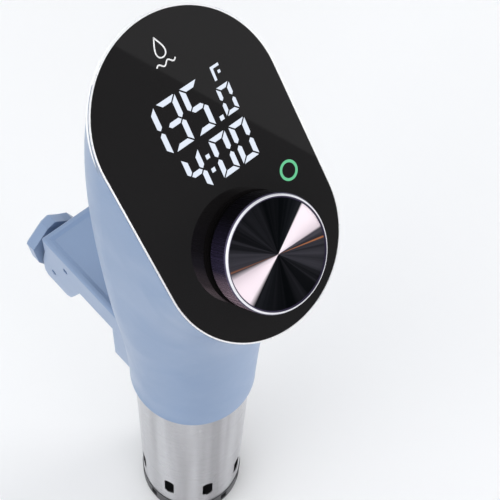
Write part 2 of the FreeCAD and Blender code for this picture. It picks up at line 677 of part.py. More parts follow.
def make_clamp_screw():
    insert = tube_y(INSERT_R, SCREW_R + RUNNING, POCKET_Y, LEG_OUTER_Y - 0.5, 0, SCREW_Z)
    save("threaded_insert", insert)
    neck_y = PAD_FACE_Y + 6.0
    stud = rod_y(SCREW_R, neck_y, PADDLE_Y + HUB_THICK - 2, 0, SCREW_Z)
    neck = rod_y(2.6, PAD_FACE_Y + 3.0, neck_y, 0, SCREW_Z)
    button = rod_y(4.0, PAD_FACE_Y + 2.2, PAD_FACE_Y + 3.6, 0, SCREW_Z)
    save("clamp_screw", fuse([stud, neck, button]))

    cup = rod_y(PAD_R, PAD_FACE_Y + PAD_RUBBER, PAD_FACE_Y + 6.0, 0, SCREW_Z)
    cup = cup.cut(rod_y(SOCKET_R, PAD_FACE_Y, PAD_FACE_Y + 7.0, 0, SCREW_Z))
    save("pad_cup", cup)
    clip = tube_y(SOCKET_R, 2.65, PAD_FACE_Y + 3.9, PAD_FACE_Y + 4.9, 0, SCREW_Z)
    save("pad_clip", clip)
    rubber = rod_y(PAD_R, PAD_FACE_Y, PAD_FACE_Y + PAD_RUBBER, 0, SCREW_Z)
    save("pad_face", rubber)


def make_thumb_paddle():
    """A one-sided shield-shaped paddle that turns the screw; its half outline is (reach, half width)."""
    upper = [Vector(-reach, 0, half) for reach, half in PADDLE_HALF]
    lower = [Vector(-reach, 0, -half) for reach, half in reversed(PADDLE_HALF[:-1])]
    blade = polygon(upper + lower, Y * PADDLE_THICK)
    rim = [edge for edge in blade.Edges if edge.BoundBox.YMin > PADDLE_THICK - 0.1]
    blade = blade.makeChamfer(1.2, rim)
    hub = rod_y(HUB_R, 0, HUB_THICK, 0, 0)
    paddle = fuse([blade, hub]).cut(rod_y(SCREW_R, -1, HUB_THICK - 2, 0, 0))
    paddle.rotate(Vector(0, 0, 0), Y, PADDLE_TURN)
    paddle.translate(Vector(0, PADDLE_Y, SCREW_Z))
    save("thumb_paddle", paddle)


# ---------------------------------------------------------------- the whole part
housing_form = make_housing()
make_housing_screws()
make_cord_gland(housing_form)
make_panel()
make_encoder()
make_knob()
make_power_electronics()
make_motor()
make_fan()
make_drive_line()
make_bulkhead()
make_heater()
make_probes()
make_sleeve()
make_bracket(housing_form)
make_clamp_screw()
make_thumb_paddle()
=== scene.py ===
import bmesh
import bpy
import math
from mathutils import Matrix, Vector


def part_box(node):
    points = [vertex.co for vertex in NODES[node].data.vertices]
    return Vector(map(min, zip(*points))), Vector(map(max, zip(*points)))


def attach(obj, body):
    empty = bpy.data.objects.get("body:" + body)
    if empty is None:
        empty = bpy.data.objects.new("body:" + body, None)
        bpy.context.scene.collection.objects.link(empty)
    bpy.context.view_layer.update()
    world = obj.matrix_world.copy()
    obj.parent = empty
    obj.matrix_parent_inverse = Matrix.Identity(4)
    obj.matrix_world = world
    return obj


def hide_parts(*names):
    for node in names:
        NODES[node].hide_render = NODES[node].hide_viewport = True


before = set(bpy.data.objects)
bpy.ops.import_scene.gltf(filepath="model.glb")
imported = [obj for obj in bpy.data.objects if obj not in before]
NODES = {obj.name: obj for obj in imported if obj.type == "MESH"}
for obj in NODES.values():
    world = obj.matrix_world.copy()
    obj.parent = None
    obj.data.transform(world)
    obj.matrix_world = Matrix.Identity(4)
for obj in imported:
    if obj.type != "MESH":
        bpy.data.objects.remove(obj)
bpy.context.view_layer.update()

MM = 0.001
MICRON = 0.000001

# ---------------------------------------------------------------- places read from the frame
# The panel's own axes: across (+X), up the slope, and out of the glass.
PANEL_TILT = math.radians(47.5)
ACROSS = Vector((1, 0, 0))
SLOPE = Vector((0, math.cos(PANEL_TILT), math.sin(PANEL_TILT)))
NORMAL = Vector((0, -math.sin(PANEL_TILT), math.cos(PANEL_TILT)))


def middle_of(node):
    """The middle of the node's box."""
    low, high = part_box(node)
    return (low + high) / 2


def top_along(node, axis):
    """How far the node reaches along an axis."""
    return max(axis.dot(vertex.co) for vertex in NODES[node].data.vertices)


def outer_centre(node):
    """The middle of the node's surface on the panel's outer side."""
    middle = middle_of(node)
    return middle + NORMAL * (top_along(node, NORMAL) - NORMAL.dot(middle))


PANEL_CENTRE = outer_centre("display_lens")
KNOB_CENTRE = outer_centre("knob_face")
KNOB_R = top_along("knob_bezel", ACROSS)


def on_panel(u, v, height=0.0):
    """A point on the panel from millimetres across, up the slope and over the glass."""
    return PANEL_CENTRE + (ACROSS * u + SLOPE * v + NORMAL * height) * MM


# ---------------------------------------------------------------- node tree helpers
class Recipe:
    """A material under construction: its nodes, links and Principled shader."""

    def __init__(self, name):
        self.material = bpy.data.materials.new(name)
        self.material.use_nodes = True
        self.tree = self.material.node_tree
        self.shader = self.tree.nodes["Principled BSDF"]

    def node(self, kind, **settings):
        made = self.tree.nodes.new(kind)
        for key, value in settings.items():
            setattr(made, key, value)
        return made

    def feed(self, target, value):
        """Gives a socket a number or colour of its own, or another node's result."""
        if isinstance(value, bpy.types.NodeSocket):
            self.tree.links.new(value, target)
        else:
            target.default_value = value

    def maths(self, operation, first, second=0.0):
        made = self.node("ShaderNodeMath", operation=operation)
        self.feed(made.inputs[0], first)
        self.feed(made.inputs[1], second)
        return made.outputs[0]

    def vector_maths(self, operation, first, second=(0.0, 0.0, 0.0)):
        made = self.node("ShaderNodeVectorMath", operation=operation)
        self.feed(made.inputs[0], first)
        self.feed(made.inputs[1], second)
        return made.outputs["Value" if operation == "DOT_PRODUCT" else "Vector"]

    def position(self, stretch=(1.0, 1.0, 1.0)):
        """Points of the piece in metres in its own resting place, stretched along each axis."""
        place = self.node("ShaderNodeTexCoord").outputs["Object"]
        return self.vector_maths("MULTIPLY", place, stretch)

    def noise(self, scale, detail=3.0, stretch=(1.0, 1.0, 1.0), distortion=0.0):
        made = self.node("ShaderNodeTexNoise")
        self.feed(made.inputs["Vector"], self.position(stretch))
        self.feed(made.inputs["Scale"], scale)
        self.feed(made.inputs["Detail"], detail)
        self.feed(made.inputs["Distortion"], distortion)
        return made.outputs["Fac"]

    def span(self, value, low, high, new_low, new_high):
        """Carries a value from one range to another, and holds it at the ends."""
        made = self.node("ShaderNodeMapRange")
        for socket, number in zip(made.inputs, (value, low, high, new_low, new_high)):
            self.feed(socket, number)
        return made.outputs["Result"]

    def blend(self, factor, first, second, mode="MIX"):
        made = self.node("ShaderNodeMix", data_type="RGBA", blend_type=mode)
        factor_socket, first_socket, second_socket = made.inputs[0], made.inputs[6], made.inputs[7]
        self.feed(factor_socket, factor)
        self.feed(first_socket, first)
        self.feed(second_socket, second)
        colour_socket = made.outputs[2]
        return colour_socket

    def edges(self, radius):
        """About 1 on sharp edges and 0 on open faces."""
        plain = self.node("ShaderNodeNewGeometry").outputs["Normal"]
        turn = self.vector_maths("DOT_PRODUCT", self.rounded_normal(radius), plain)
        return self.span(turn, 0.99, 0.86, 0.0, 1.0)

    def bump(self, height, strength, distance, under=None):
        made = self.node("ShaderNodeBump")
        made.inputs["Strength"].default_value = strength
        made.inputs["Distance"].default_value = distance
        self.feed(made.inputs["Height"], height)
        if under is not None:
            self.feed(made.inputs["Normal"], under)
        return made.outputs[0]

    def rounded_normal(self, radius):
        made = self.node("ShaderNodeBevel", samples=4)
        made.inputs["Radius"].default_value = radius
        return made.outputs[0]

    def to_world(self, direction):
        """A direction given in the piece's own axes, turned as the piece is turned."""
        made = self.node("ShaderNodeVectorTransform", vector_type="VECTOR",
                         convert_from="OBJECT", convert_to="WORLD")
        self.feed(made.inputs[0], direction)
        return made.outputs[0]

    def set(self, **values):
        """Fills the shader's sockets, and gives back the finished material."""
        for key, value in values.items():
            self.feed(self.shader.inputs[key.replace("_", " ")], value)
        return self.material


def rgba(red, green, blue):
    return (red, green, blue, 1.0)


def shade(colour, factor):
    """The colour made darker or lighter by a factor."""
    return rgba(*(min(1.0, channel * factor) for channel in colour[:3]))


# ---------------------------------------------------------------- materials
MOULDED_EDGE = 0.4 * MM
MOULDED_GRAIN = 0.12 * MM


def moulded(name, colour, roughness, wear=0.25, specular=0.5):
    """Moulded plastic: fine spark-eroded grain, slight colour drift, lighter rubbed edges."""
    recipe = Recipe(name)
    drift = recipe.noise(28.0, detail=4.0)
    base = recipe.blend(drift, shade(colour, 0.94), shade(colour, 1.05))
    rubbed = recipe.span(recipe.noise(420.0), 0.35, 0.7, 0.2, 1.0)
    worn = recipe.maths("MULTIPLY", recipe.edges(MOULDED_EDGE), rubbed)
    base = recipe.blend(recipe.maths("MULTIPLY", worn, wear), base, shade(colour, 1.5))
    rough = recipe.span(recipe.noise(160.0, detail=5.0), 0.3, 0.7, roughness - 0.06, roughness + 0.07)
    grain = recipe.noise(1.0 / MOULDED_GRAIN, detail=2.0)
    normal = recipe.bump(grain, 0.22, 30 * MICRON, recipe.rounded_normal(MOULDED_EDGE))
    return recipe.set(Base_Color=base, Roughness=rough, Normal=normal, Specular_IOR_Level=specular)


def soft_blue(name, colour):
    """Satin powder-blue housing plastic, a little sheen over a very fine grain."""
    recipe = Recipe(name)
    drift = recipe.noise(14.0, detail=4.0)
    base = recipe.blend(drift, shade(colour, 0.965), shade(colour, 1.03))
    flecks = recipe.span(recipe.noise(2600.0, detail=2.0), 0.42, 0.62, 0.0, 1.0)
    base = recipe.blend(recipe.maths("MULTIPLY", flecks, 0.05), base, shade(colour, 1.35))
    rubbed = recipe.span(recipe.noise(380.0), 0.4, 0.7, 0.1, 0.5)
    worn = recipe.maths("MULTIPLY", recipe.edges(0.7 * MM), rubbed)
    base = recipe.blend(worn, base, shade(colour, 1.28))
    smudges = recipe.noise(46.0, detail=5.0, distortion=0.6)
    rough = recipe.span(smudges, 0.3, 0.75, 0.33, 0.46)
    grain = recipe.noise(5200.0, detail=2.0)
    normal = recipe.bump(grain, 0.16, 20 * MICRON, recipe.rounded_normal(0.6 * MM))
    return recipe.set(Base_Color=base, Roughness=rough, Normal=normal,
                      Sheen_Weight=0.04, Sheen_Roughness=0.45, Coat_Weight=0.3, Coat_Roughness=0.28)


def smoked_lens():
    """Polished smoked panel: near-black, glossy, with the faintest wipe marks."""
    recipe = Recipe("smoked_lens")
    drift = recipe.noise(22.0)
    base = recipe.blend(drift, rgba(0.0055, 0.0048, 0.005), rgba(0.0075, 0.0068, 0.007))
    wipes = recipe.noise(60.0, detail=4.0, stretch=(1.0, 0.25, 0.25), distortion=0.4)
    rough = recipe.span(wipes, 0.3, 0.8, 0.02, 0.04)
    normal = recipe.rounded_normal(0.3 * MM)
    return recipe.set(Base_Color=base, Roughness=rough, Normal=normal, IOR=1.42)


EVEN = (1.0, 1.0, 1.0)               # cast or plated: marks run no one way
UPRIGHT = (1.0, 1.0, 0.02)           # drawn: marks run up the part
TURNED = (0.02, 0.02, 1.0)           # turned: marks run round the part
METAL_EDGE = 0.3 * MM


def metal(name, colour, roughness, stretch=EVEN, lines=900.0, depth=0.25):
    """Bare metal with drawn or turned marks along the axes whose stretch is small."""
    recipe = Recipe(name)
    marks = recipe.noise(lines, stretch=stretch)
    base = recipe.blend(marks, shade(colour, 0.88), shade(colour, 1.08))
    worn = recipe.maths("MULTIPLY", recipe.edges(METAL_EDGE), 0.15)
    base = recipe.blend(worn, base, shade(colour, 1.35))
    cloudy = recipe.noise(70.0, detail=4.0)
    rough = recipe.maths("ADD", recipe.span(cloudy, 0.3, 0.7, roughness - 0.05, roughness + 0.05),
                         recipe.span(marks, 0.3, 0.7, -0.03, 0.04))
    normal = recipe.bump(marks, depth, 20 * MICRON, recipe.rounded_normal(METAL_EDGE))
    return recipe.set(Base_Color=base, Metallic=1.0, Roughness=rough, Normal=normal)


def brushed_sleeve():
    """Stainless tube brushed round its axis, with upright bands of painted dark reflection and faint
    water spots.
    """
    recipe = Recipe("brushed_sleeve")
    marks = recipe.noise(1900.0, detail=4.0, stretch=(0.012, 0.012, 1.0))
    fine = recipe.noise(5200.0, detail=2.0, stretch=(0.01, 0.01, 1.0))
    steel = (0.6, 0.6, 0.62)
    base = recipe.blend(marks, shade(steel, 0.93), shade(steel, 1.06))
    # painted reflection: upright dark bands multiplied into the steel's colour
    painted_reflection_bands = recipe.noise(75.0, detail=2.0, stretch=(1.0, 1.0, 0.04), distortion=0.2)
    clear = recipe.span(painted_reflection_bands, 0.36, 0.62, 0.0, 1.0)
    painted_reflection_bands = recipe.blend(clear, rgba(0.62, 0.61, 0.62), rgba(1.0, 1.0, 1.0))
    base = recipe.blend(1.0, base, painted_reflection_bands, "MULTIPLY")
    spots = recipe.span(recipe.noise(150.0, detail=2.0), 0.64, 0.67, 0.0, 0.06)
    base = recipe.blend(spots, base, rgba(0.78, 0.79, 0.8))
    rough = recipe.maths("ADD", recipe.span(fine, 0.3, 0.7, 0.24, 0.31), spots)
    normal = recipe.bump(marks, 0.06, 8 * MICRON, recipe.rounded_normal(METAL_EDGE))
    upright = recipe.to_world((0.0, 0.0, 1.0))
    return recipe.set(Base_Color=base, Metallic=1.0, Roughness=rough, Normal=normal,
                      Anisotropic=0.8, Tangent=upright)


def knob_axes(recipe):
    """Offset from the dial's centre, its azimuth over the panel, and its distance from the axis."""
    place = recipe.node("ShaderNodeTexCoord").outputs["Object"]
    offset = recipe.vector_maths("SUBTRACT", place, KNOB_CENTRE[:])
    across = recipe.vector_maths("DOT_PRODUCT", offset, ACROSS[:])
    along = recipe.vector_maths("DOT_PRODUCT", offset, SLOPE[:])
    azimuth = recipe.maths("ARCTAN2", along, across)
    squares = [recipe.maths("MULTIPLY", side, side) for side in (across, along)]
    distance = recipe.maths("SQRT", recipe.maths("ADD", *squares))
    return offset, azimuth, distance


def nearness(recipe, azimuth, centre):
    """1 at an azimuth in degrees, falling to -1 opposite it."""
    return recipe.maths("COSINE", recipe.maths("SUBTRACT", azimuth, math.radians(centre)))


def spoke(recipe, azimuth, centre, half_width, softness):
    """1 within a wedge of the dial's face and 0 outside it; the angles are in degrees."""
    gap = recipe.maths("ARCCOSINE", nearness(recipe, azimuth, centre))
    inner, outer = math.radians(half_width - softness), math.radians(half_width + softness)
    return recipe.span(gap, inner, outer, 1.0, 0.0)


def spoke_noise(recipe, azimuth, scale):
    """Noise that changes round the dial only."""
    spokes = recipe.node("ShaderNodeCombineXYZ")
    recipe.feed(spokes.inputs[0], recipe.maths("COSINE", azimuth))
    recipe.feed(spokes.inputs[1], recipe.maths("SINE", azimuth))
    made = recipe.node("ShaderNodeTexNoise")
    recipe.feed(made.inputs["Vector"], spokes.outputs[0])
    recipe.feed(made.inputs["Scale"], scale)
    recipe.feed(made.inputs["Detail"], 3.0)
    return made.outputs["Fac"]


# Azimuths of the dial's painted highlights and painted reflection, in degrees from the panel's +X
# towards its upper end.
PAINTED_UPPER_HIGHLIGHT = {"centre": 13.4, "half_width": 17.3, "softness": 1.2}
PAINTED_LOWER_HIGHLIGHT = {"centre": 188.5, "half_width": 19.0, "softness": 3.5}
# painted copper glints: azimuth and strength of each thin coloured highlight
PAINTED_COPPER_GLINTS = {-15.4: 0.75, 164.6: 0.3}   # azimuth and strength
# painted reflection: the dark spokes are painted greyest at this azimuth and opposite it
GREY_REFLECTION_AT = 150.0                              # the dark spokes are greyest here and opposite
# where the band's pinkish painted highlight and its painted shade are centred
BAND_HIGHLIGHT_AT = 205.0
BAND_SHADE_AT = 70.0


def spun_face():
    """Dark metal disc spun on a lathe: rings too fine to count, which draw light into spokes. Its colour
    also carries painted highlights, two pale wedges and thin copper glints, and painted reflection that
    makes its spokes greyer round two azimuths.
    """
    recipe = Recipe("spun_face")
    offset, azimuth, distance = knob_axes(recipe)
    wide_spokes = recipe.maths("MULTIPLY", spoke_noise(recipe, azimuth, 1.7), 0.6)
    fine_spokes = recipe.maths("MULTIPLY", spoke_noise(recipe, azimuth, 8.0), 0.4)
    spokes = recipe.maths("ADD", wide_spokes, fine_spokes)
    # painted reflection: the spokes are lightened round one azimuth and opposite it
    twice = recipe.maths("MULTIPLY", recipe.maths("SUBTRACT", azimuth, math.radians(GREY_REFLECTION_AT)), 2.0)
    broad_reflection = recipe.span(recipe.maths("COSINE", twice), -0.8, 0.9, 0.12, 1.0)
    grey_reflection = recipe.maths("MULTIPLY", broad_reflection, recipe.span(spokes, 0.42, 0.6, 0.12, 1.0))
    base = recipe.blend(grey_reflection, rgba(0.002, 0.003, 0.004), rgba(0.085, 0.082, 0.1))
    # painted highlights: two pale wedges across the dial's face
    upper = spoke(recipe, azimuth, **PAINTED_UPPER_HIGHLIGHT)
    lower = spoke(recipe, azimuth, **PAINTED_LOWER_HIGHLIGHT)
    base = recipe.blend(recipe.maths("MAXIMUM", upper, lower), base, rgba(0.7, 0.63, 0.67))
    # painted highlights: thin copper-coloured glints along two spokes
    for angle, share in PAINTED_COPPER_GLINTS.items():
        glint = spoke(recipe, azimuth, angle, half_width=0.9, softness=0.6)
        base = recipe.blend(recipe.maths("MULTIPLY", glint, share), base, rgba(0.75, 0.27, 0.1))
    rings = recipe.node("ShaderNodeTexNoise", noise_dimensions="1D")
    recipe.feed(rings.inputs["W"], distance)
    recipe.feed(rings.inputs["Scale"], 9000.0)
    rough = recipe.span(rings.outputs["Fac"], 0.3, 0.7, 0.3, 0.36)
    normal = recipe.bump(rings.outputs["Fac"], 0.05, 4 * MICRON)
    outward = recipe.to_world(recipe.vector_maths("NORMALIZE", offset))
    return recipe.set(Base_Color=base, Metallic=1.0, Roughness=rough, Normal=normal,
                      Anisotropic=0.9, Tangent=outward)


def turned_band():
    """Dark anodised band of the dial, with fine upright tool marks, a pinkish painted highlight on one
    side and painted shade on another.
    """
    recipe = Recipe("turned_band")
    _, azimuth, _ = knob_axes(recipe)
    marks = spoke_noise(recipe, azimuth, 60.0)
    # painted highlight: the band turns lighter and pinkish round one azimuth
    tint = recipe.span(nearness(recipe, azimuth, BAND_HIGHLIGHT_AT), 0.75, 0.99, 0.0, 1.0)
    dark = recipe.blend(marks, rgba(0.02, 0.016, 0.04), rgba(0.11, 0.088, 0.19))
    light = recipe.blend(marks, rgba(0.35, 0.24, 0.34), rgba(0.95, 0.68, 0.78))
    base = recipe.blend(tint, dark, light)
    # painted shade: the band goes near black round another azimuth
    lit = recipe.span(nearness(recipe, azimuth, BAND_SHADE_AT), 0.2, 0.75, 1.0, 0.0)
    base = recipe.blend(lit, rgba(0.006, 0.005, 0.01), base)
    rough = recipe.span(marks, 0.3, 0.7, 0.2, 0.3)
    normal = recipe.bump(marks, 0.35, 50 * MICRON, recipe.rounded_normal(0.2 * MM))
    return recipe.set(Base_Color=base, Metallic=0.75, Roughness=rough, Normal=normal)


def bright_rim():
    """Silver-lacquered rim round the panel."""
    recipe = Recipe("bright_rim")
    marks = recipe.noise(500.0)
    base = recipe.blend(marks, rgba(0.93, 0.94, 0.95), rgba(0.99, 0.99, 0.99))
    rough = recipe.span(marks, 0.3, 0.7, 0.26, 0.38)
    normal = recipe.bump(marks, 0.05, 10 * MICRON, recipe.rounded_normal(0.6 * MM))
    return recipe.set(Base_Color=base, Metallic=0.15, Roughness=rough, Normal=normal)


def cut_edge():
    """The dial's diamond-cut rim: a sloping cut painted pale as a highlight beside a flat painted dark
    as a dark reflection.
    """
    recipe = Recipe("cut_edge")
    _, azimuth, distance = knob_axes(recipe)
    marks = spoke_noise(recipe, azimuth, 90.0)
    highlight_colour = recipe.blend(marks, rgba(0.8, 0.8, 0.84), rgba(0.93, 0.93, 0.96))
    past_flat = recipe.span(distance, KNOB_R - 1.15 * MM, KNOB_R - 1.05 * MM, 0.0, 1.0)
    inside_cut = recipe.span(distance, KNOB_R - 0.45 * MM, KNOB_R - 0.3 * MM, 1.0, 0.0)
    # painted highlight on the cut, painted dark reflection on the rest of the rim
    painted_highlight_on_cut = recipe.maths("MULTIPLY", past_flat, inside_cut)
    base = recipe.blend(painted_highlight_on_cut, rgba(0.05, 0.04, 0.085), highlight_colour)
    rough = recipe.span(marks, 0.3, 0.7, 0.32, 0.4)
    normal = recipe.bump(marks, 0.05, 10 * MICRON)
    return recipe.set(Base_Color=base, Metallic=0.5, Roughness=rough, Normal=normal)


def glow(name, colour):
    """Lit light guide: even light with a slight fall-off in its own grain."""
    recipe = Recipe(name)
    grain = recipe.noise(900.0, detail=2.0)
    tint = recipe.blend(grain, shade(colour, 0.94), shade(colour, 1.0))
    rough = recipe.span(grain, 0.3, 0.7, 0.4, 0.55)
    return recipe.set(Base_Color=shade(colour, 0.02), Roughness=rough, Emission_Color=tint,
                      Emission_Strength=1.0)


def circuit_board():
    """Green solder resist over copper tracks."""
    recipe = Recipe("circuit_board")
    cells = recipe.node("ShaderNodeTexBrick")
    recipe.feed(cells.inputs["Vector"], recipe.position())
    cells.inputs["Scale"].default_value = 260.0
    cells.inputs["Mortar Size"].default_value = 0.03
    tracks = recipe.maths("SUBTRACT", 1.0, cells.outputs["Fac"])
    patches = recipe.span(recipe.noise(120.0, detail=1.0), 0.47, 0.5, 0.0, 1.0)
    covered = recipe.maths("MULTIPLY", tracks, patches)
    base = recipe.blend(covered, rgba(0.02, 0.13, 0.055), rgba(0.04, 0.22, 0.09))
    normal = recipe.bump(covered, 0.4, 40 * MICRON)
    return recipe.set(Base_Color=base, Roughness=0.32, Normal=normal, Coat_Weight=0.3)


def wound_copper():
    """Stator stack with enamelled copper wire wound round it."""
    recipe = Recipe("wound_copper")
    wires = recipe.node("ShaderNodeTexWave", wave_type="BANDS", bands_direction="Z")
    recipe.feed(wires.inputs["Vector"], recipe.position())
    wires.inputs["Scale"].default_value = 420.0
    wires.inputs["Distortion"].default_value = 1.2
    base = recipe.blend(wires.outputs["Fac"], rgba(0.28, 0.09, 0.03), rgba(0.72, 0.30, 0.13))
    normal = recipe.bump(wires.outputs["Fac"], 0.7, 200 * MICRON)
    return recipe.set(Base_Color=base, Metallic=0.8, Roughness=0.35, Normal=normal)


def clear_guide():
    """Slightly hazy moulded light guide."""
    recipe = Recipe("clear_guide")
    haze = recipe.noise(300.0)
    base = recipe.blend(haze, rgba(0.7, 0.92, 0.8), rgba(0.8, 0.98, 0.88))
    rough = recipe.span(haze, 0.3, 0.7, 0.12, 0.22)
    return recipe.set(Base_Color=base, Roughness=rough, Transmission_Weight=0.6)


def rubber(name, colour):
    """Dull rubber with dust that lightens and roughens it in patches."""
    recipe = Recipe(name)
    dust = recipe.span(recipe.noise(220.0, detail=5.0), 0.45, 0.75, 0.0, 0.35)
    base = recipe.blend(dust, shade(colour, 1.0), shade(colour, 2.0))
    rough = recipe.span(dust, 0.0, 0.35, 0.62, 0.82)
    normal = recipe.bump(recipe.noise(3000.0), 0.3, 40 * MICRON, recipe.rounded_normal(0.3 * MM))
    return recipe.set(Base_Color=base, Roughness=rough, Normal=normal, Sheen_Weight=0.2)


BLUE = (0.155, 0.248, 0.415)
CLAMP_BLUE = (0.215, 0.3, 0.455)

DRAWN_STEEL = metal("drawn_steel", (0.56, 0.57, 0.59), 0.24, UPRIGHT)
ZINC = metal("zinc_plate", (0.6, 0.61, 0.62), 0.34, lines=260.0)

FINISHES = {
    soft_blue("housing_blue", BLUE): ["front_shell", "rear_shell"],
    soft_blue("clamp_blue", CLAMP_BLUE): ["clamp_bracket", "thumb_paddle"],
    smoked_lens(): ["display_lens"],
    bright_rim(): ["panel_trim"],
    moulded("dial_black", (0.0012, 0.001, 0.0013), 0.45, specular=0.06): ["knob_core"],
    turned_band(): ["knob_band"],
    cut_edge(): ["knob_bezel"],
    spun_face(): ["knob_face"],
    brushed_sleeve(): ["steel_sleeve"],
    DRAWN_STEEL: [
        "encoder_spindle", "motor_bearings", "motor_shaft", "drive_shaft", "shaft_tube",
        "temperature_probe", "level_probes", "pad_clip"],
    metal("laminated_steel", (0.4, 0.41, 0.43), 0.4, TURNED, lines=1500.0, depth=0.6): ["motor_rotor"],
    metal("turned_brass", (0.72, 0.53, 0.24), 0.24, TURNED): [
        "encoder_bush", "lower_bushing", "upper_bushing", "heater_nuts", "threaded_insert"],
    ZINC: [
        "housing_screws", "display_board_screws", "motor_can", "motor_mount", "motor_screws",
        "bracket_screws"],
    metal("mill_aluminium", (0.7, 0.71, 0.73), 0.32, UPRIGHT): ["capacitors", "heat_sink"],
    rubber("dark_rubber", (0.028, 0.028, 0.032)): ["shell_seal", "cord_gland", "jaw_liner", "pad_face"],
    rubber("red_silicone", (0.42, 0.075, 0.05)): ["shaft_seal", "sleeve_seal"],
    moulded("foot_black", (0.035, 0.035, 0.039), 0.48): ["foot_cap"],
    moulded("nylon_black", (0.026, 0.026, 0.027), 0.42): [
        "panel_frame", "encoder_body", "transformer", "relay", "triac", "impeller", "bulkhead",
        "pad_cup"],
    moulded("nylon_white", (0.72, 0.72, 0.68), 0.4, wear=0.1): [
        "led_display_module", "encoder_rotor", "terminal_block", "cooling_fan", "shaft_coupling",
        "thermal_cutoff"],
    circuit_board(): ["display_board", "power_board"],
    wound_copper(): ["motor_stator"],
    clear_guide(): ["touch_ring_guide"],
}

for finish, names in FINISHES.items():
    for name in names:
        mesh = NODES[name].data
        mesh.materials.clear()
        mesh.materials.append(finish)


# ---------------------------------------------------------------- mesh helpers
def piece(mesh, finish, body):
    """A new visible piece, named as its mesh is, that rides on a body."""
    made = bpy.data.objects.new(mesh.name, mesh)
    bpy.context.scene.collection.objects.link(made)
    mesh.materials.append(finish)
    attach(made, body)
    return made


def from_bmesh(name, bm, smooth=False):
    """A mesh with its faces all turned outwards."""
    bmesh.ops.recalc_face_normals(bm, faces=bm.faces)
    mesh = bpy.data.meshes.new(name)
    bm.to_mesh(mesh)
    bm.free()
    for polygon in mesh.polygons:
        polygon.use_smooth = smooth
    return mesh


LIT_LOW, LIT_HIGH = -0.01, 0.05      # millimetres under and over the glass


def add_plate(bm, outline):
    """A thin closed plate on the panel from an outline in panel millimetres."""
    rings = [[bm.verts.new(on_panel(u, v, height)) for u, v in outline]
             for height in (LIT_LOW, LIT_HIGH)]
    bm.faces.new(rings[0])
    bm.faces.new(rings[1])
    count = len(outline)
    for i in range(count):
        j = (i + 1) % count
        bm.faces.new((rings[0][i], rings[0][j], rings[1][j], rings[1][i]))


# ---------------------------------------------------------------- lit display
SLANT = 0.05                         # how far a digit leans per millimetre of height
SEGMENT_GAP = 0.4
SEGMENTS = {"0": "abcdef", "1": "bc", "3": "abcdg", "4": "bcfg", "5": "acdfg"}


def segment_outlines(width, height, stroke):
    """The seven segments of one digit, upright, its lower left corner at the origin."""
    gap, middle, rise = SEGMENT_GAP, height / 2, stroke / 2
    left, right = gap + stroke, width - gap - stroke
    a = [(gap, height), (width - gap, height), (right, height - stroke), (left, height - stroke)]
    g = [(gap + rise, middle), (left, middle + rise), (right, middle + rise),
         (width - gap - rise, middle), (right, middle - rise), (left, middle - rise)]
    b = [(width, height - gap), (width, middle + gap + rise), (width - rise, middle + gap),
         (width - stroke, middle + gap + rise), (width - stroke, height - gap - stroke)]
    c = [(x, height - y) for x, y in b]
    f = [(width - x, y) for x, y in b]
    e = [(width - x, height - y) for x, y in b]
    d = [(x, height - y) for x, y in a]
    return {"a": a, "b": b, "c": c, "d": d, "e": e, "f": f, "g": g}


def add_digit(bm, digit, left, low, width, height, stroke):
    """A seven-segment digit from its lower left corner, leaning to the right."""
    outlines = segment_outlines(width, height, stroke)
    for letter in SEGMENTS[digit]:
        add_plate(bm, [(left + x + y * SLANT, low + y) for x, y in outlines[letter]])


def add_dot(bm, u, v, half):
    """A square dot that leans as the digits do."""
    lean = half * SLANT * 2
    add_plate(bm, [(u - half, v - half), (u + half, v - half),
                   (u + half + lean, v + half), (u - half + lean, v + half)])


STROKE = 1.95
TEMPERATURE_LOW, TEMPERATURE_TALL = 18.6, 17.8
TIMER_LOW, TIMER_TALL, TIMER_WIDE = 0.6, 15.0, 7.5


def make_display():
    """The lit readings: a temperature with a small last digit, a timer under it, and a unit."""
    white = glow("display_white", (0.775, 0.84, 0.95))
    row = bmesh.new()
    for digit, left, wide in (("1", -20.55, 8.3), ("3", -11.2, 8.3), ("5", -0.9, 7.9)):
        add_digit(row, digit, left, TEMPERATURE_LOW, wide, TEMPERATURE_TALL, STROKE)
    add_dot(row, 10.1, 19.6, half=0.85)
    add_digit(row, "0", 12.2, 18.8, width=5.9, height=10.7, stroke=1.45)
    piece(from_bmesh("temperature_digits", row), white, "housing")

    row = bmesh.new()
    for digit, left in (("4", -12.0), ("0", 0.5), ("0", 9.8)):
        add_digit(row, digit, left, TIMER_LOW, TIMER_WIDE, TIMER_TALL, STROKE)
    for u, v in ((-1.55, 10.9), (-1.85, 5.7)):
        add_dot(row, u, v, half=0.8)
    piece(from_bmesh("timer_digits", row), white, "housing")

    unit = bmesh.new()
    add_plate(unit, [(14.0, 31.8), (15.0, 31.8), (15.3, 36.0), (18.0, 36.0), (18.0, 37.0), (14.3, 37.0)])
    add_dot(unit, 17.0, 34.1, half=0.55)
    piece(from_bmesh("unit_mark", unit), white, "housing")


RING_OUTER, RING_INNER = 3.95, 2.9
RING_BREAK = 0.1                     # how far in its upper edges are broken
RING_SHOULDER = 0.03
RING_STEPS = 64


